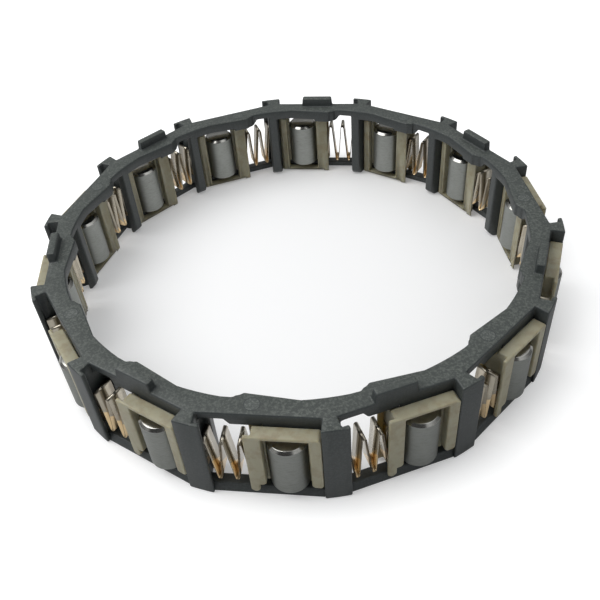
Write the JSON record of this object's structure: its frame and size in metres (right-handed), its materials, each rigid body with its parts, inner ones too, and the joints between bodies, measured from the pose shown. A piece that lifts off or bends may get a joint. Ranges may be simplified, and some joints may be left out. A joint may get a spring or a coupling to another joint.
{
  "type": "roller one-way clutch",
  "caption": "Roller one-way clutch insert: moulded ring cage whose windows each hold an accordion spring, a sliding retainer and a steel roller.",
  "frame": {"origin": "centre of the clutch axis, on the plane of the lower post ends", "axes": "+Z along the clutch axis towards the locating lugs; -Y out through the middle of pocket 1; pockets are numbered counter-clockwise seen from +Z"},
  "size_m": [0.124, 0.1236, 0.024],
  "materials": {
    "cage": "satin glass-filled nylon, speckled on the top",
    "retainer": "semi-matte natural nylon, slightly translucent",
    "roller": "ground, hazy, with polished end chamfers",
    "spring": "bright rolled strip"
  },
  "bodies": {
    "cage_body": {"cage": "cage", "spring_01": "spring", "spring_02": "spring", "spring_03": "spring", "spring_04": "spring", "spring_05": "spring", "spring_06": "spring", "spring_07": "spring", "spring_08": "spring", "spring_09": "spring", "spring_10": "spring", "spring_11": "spring", "spring_12": "spring", "spring_13": "spring", "spring_14": "spring"},
    "retainer_body_01": {"retainer_01": "retainer"},
    "roller_body_01": {"roller_01": "roller"},
    "retainer_body_02": {"retainer_02": "retainer"},
    "roller_body_02": {"roller_02": "roller"},
    "retainer_body_03": {"retainer_03": "retainer"},
    "roller_body_03": {"roller_03": "roller"},
    "retainer_body_04": {"retainer_04": "retainer"},
    "roller_body_04": {"roller_04": "roller"},
    "retainer_body_05": {"retainer_05": "retainer"},
    "roller_body_05": {"roller_05": "roller"},
    "retainer_body_06": {"retainer_06": "retainer"},
    "roller_body_06": {"roller_06": "roller"},
    "retainer_body_07": {"retainer_07": "retainer"},
    "roller_body_07": {"roller_07": "roller"},
    "retainer_body_08": {"retainer_08": "retainer"},
    "roller_body_08": {"roller_08": "roller"},
    "retainer_body_09": {"retainer_09": "retainer"},
    "roller_body_09": {"roller_09": "roller"},
    "retainer_body_10": {"retainer_10": "retainer"},
    "roller_body_10": {"roller_10": "roller"},
    "retainer_body_11": {"retainer_11": "retainer"},
    "roller_body_11": {"roller_11": "roller"},
    "retainer_body_12": {"retainer_12": "retainer"},
    "roller_body_12": {"roller_12": "roller"},
    "retainer_body_13": {"retainer_13": "retainer"},
    "roller_body_13": {"roller_13": "roller"},
    "retainer_body_14": {"retainer_14": "retainer"},
    "roller_body_14": {"roller_14": "roller"}
  },
  "joints": [
    {"name": "retainer_01_slide", "type": "slide", "parent": "cage_body", "child": "retainer_body_01", "axis": [-1, 0, 0], "range_m": [0, 0.0028], "stiffness_N_per_m": 800, "springref_m": -0.004, "deforming": ["spring_01"]},
    {"name": "roller_01_spin", "type": "hinge", "parent": "retainer_body_01", "child": "roller_body_01", "pos_m": [0.0049, -0.0578, 0.009], "axis": [0, 0, 1], "continuous": true},
    {"name": "retainer_02_slide", "type": "slide", "parent": "cage_body", "child": "retainer_body_02", "axis": [-0.901, -0.4339, 0], "range_m": [0, 0.0028], "stiffness_N_per_m": 800, "springref_m": -0.004, "deforming": ["spring_02"]},
    {"name": "roller_02_spin", "type": "hinge", "parent": "retainer_body_02", "child": "roller_body_02", "pos_m": [0.02949, -0.04995, 0.009], "axis": [0, 0, 1], "continuous": true},
    {"name": "retainer_03_slide", "type": "slide", "parent": "cage_body", "child": "retainer_body_03", "axis": [-0.6235, -0.7818, 0], "range_m": [0, 0.0028], "stiffness_N_per_m": 800, "springref_m": -0.004, "deforming": ["spring_03"]},
    {"name": "roller_03_spin", "type": "hinge", "parent": "retainer_body_03", "child": "roller_body_03", "pos_m": [0.04825, -0.03221, 0.009], "axis": [0, 0, 1], "continuous": true},
    {"name": "retainer_04_slide", "type": "slide", "parent": "cage_body", "child": "retainer_body_04", "axis": [-0.2225, -0.9749, 0], "range_m": [0, 0.0028], "stiffness_N_per_m": 800, "springref_m": -0.004, "deforming": ["spring_04"]},
    {"name": "roller_04_spin", "type": "hinge", "parent": "retainer_body_04", "child": "roller_body_04", "pos_m": [0.05744, -0.00808, 0.009], "axis": [0, 0, 1], "continuous": true},
    {"name": "retainer_05_slide", "type": "slide", "parent": "cage_body", "child": "retainer_body_05", "axis": [0.2225, -0.9749, 0], "range_m": [0, 0.0028], "stiffness_N_per_m": 800, "springref_m": -0.004, "deforming": ["spring_05"]},
    {"name": "roller_05_spin", "type": "hinge", "parent": "retainer_body_05", "child": "roller_body_05", "pos_m": [0.05526, 0.01764, 0.009], "axis": [0, 0, 1], "continuous": true},
    {"name": "retainer_06_slide", "type": "slide", "parent": "cage_body", "child": "retainer_body_06", "axis": [0.6235, -0.7818, 0], "range_m": [0, 0.0028], "stiffness_N_per_m": 800, "springref_m": -0.004, "deforming": ["spring_06"]},
    {"name": "roller_06_spin", "type": "hinge", "parent": "retainer_body_06", "child": "roller_body_06", "pos_m": [0.04213, 0.03987, 0.009], "axis": [0, 0, 1], "continuous": true},
    {"name": "retainer_07_slide", "type": "slide", "parent": "cage_body", "child": "retainer_body_07", "axis": [0.901, -0.4339, 0], "range_m": [0, 0.0028], "stiffness_N_per_m": 800, "springref_m": -0.004, "deforming": ["spring_07"]},
    {"name": "roller_07_spin", "type": "hinge", "parent": "retainer_body_07", "child": "roller_body_07", "pos_m": [0.02066, 0.0542, 0.009], "axis": [0, 0, 1], "continuous": true},
    {"name": "retainer_08_slide", "type": "slide", "parent": "cage_body", "child": "retainer_body_08", "axis": [1, 0, 0], "range_m": [0, 0.0028], "stiffness_N_per_m": 800, "springref_m": -0.004, "deforming": ["spring_08"]},
    {"name": "roller_08_spin", "type": "hinge", "parent": "retainer_body_08", "child": "roller_body_08", "pos_m": [-0.0049, 0.0578, 0.009], "axis": [0, 0, 1], "continuous": true},
    {"name": "retainer_09_slide", "type": "slide", "parent": "cage_body", "child": "retainer_body_09", "axis": [0.901, 0.4339, 0], "range_m": [0, 0.0028], "stiffness_N_per_m": 800, "springref_m": -0.004, "deforming": ["spring_09"]},
    {"name": "roller_09_spin", "type": "hinge", "parent": "retainer_body_09", "child": "roller_body_09", "pos_m": [-0.02949, 0.04995, 0.009], "axis": [0, 0, 1], "continuous": true},
    {"name": "retainer_10_slide", "type": "slide", "parent": "cage_body", "child": "retainer_body_10", "axis": [0.6235, 0.7818, 0], "range_m": [0, 0.0028], "stiffness_N_per_m": 800, "springref_m": -0.004, "deforming": ["spring_10"]},
    {"name": "roller_10_spin", "type": "hinge", "parent": "retainer_body_10", "child": "roller_body_10", "pos_m": [-0.04825, 0.03221, 0.009], "axis": [0, 0, 1], "continuous": true},
    {"name": "retainer_11_slide", "type": "slide", "parent": "cage_body", "child": "retainer_body_11", "axis": [0.2225, 0.9749, 0], "range_m": [0, 0.0028], "stiffness_N_per_m": 800, "springref_m": -0.004, "deforming": ["spring_11"]},
    {"name": "roller_11_spin", "type": "hinge", "parent": "retainer_body_11", "child": "roller_body_11", "pos_m": [-0.05744, 0.00808, 0.009], "axis": [0, 0, 1], "continuous": true},
    {"name": "retainer_12_slide", "type": "slide", "parent": "cage_body", "child": "retainer_body_12", "axis": [-0.2225, 0.9749, 0], "range_m": [0, 0.0028], "stiffness_N_per_m": 800, "springref_m": -0.004, "deforming": ["spring_12"]},
    {"name": "roller_12_spin", "type": "hinge", "parent": "retainer_body_12", "child": "roller_body_12", "pos_m": [-0.05526, -0.01764, 0.009], "axis": [0, 0, 1], "continuous": true},
    {"name": "retainer_13_slide", "type": "slide", "parent": "cage_body", "child": "retainer_body_13", "axis": [-0.6235, 0.7818, 0], "range_m": [0, 0.0028], "stiffness_N_per_m": 800, "springref_m": -0.004, "deforming": ["spring_13"]},
    {"name": "roller_13_spin", "type": "hinge", "parent": "retainer_body_13", "child": "roller_body_13", "pos_m": [-0.04213, -0.03987, 0.009], "axis": [0, 0, 1], "continuous": true},
    {"name": "retainer_14_slide", "type": "slide", "parent": "cage_body", "child": "retainer_body_14", "axis": [-0.901, 0.4339, 0], "range_m": [0, 0.0028], "stiffness_N_per_m": 800, "springref_m": -0.004, "deforming": ["spring_14"]},
    {"name": "roller_14_spin", "type": "hinge", "parent": "retainer_body_14", "child": "roller_body_14", "pos_m": [-0.02066, -0.0542, 0.009], "axis": [0, 0, 1], "continuous": true}
  ]
}
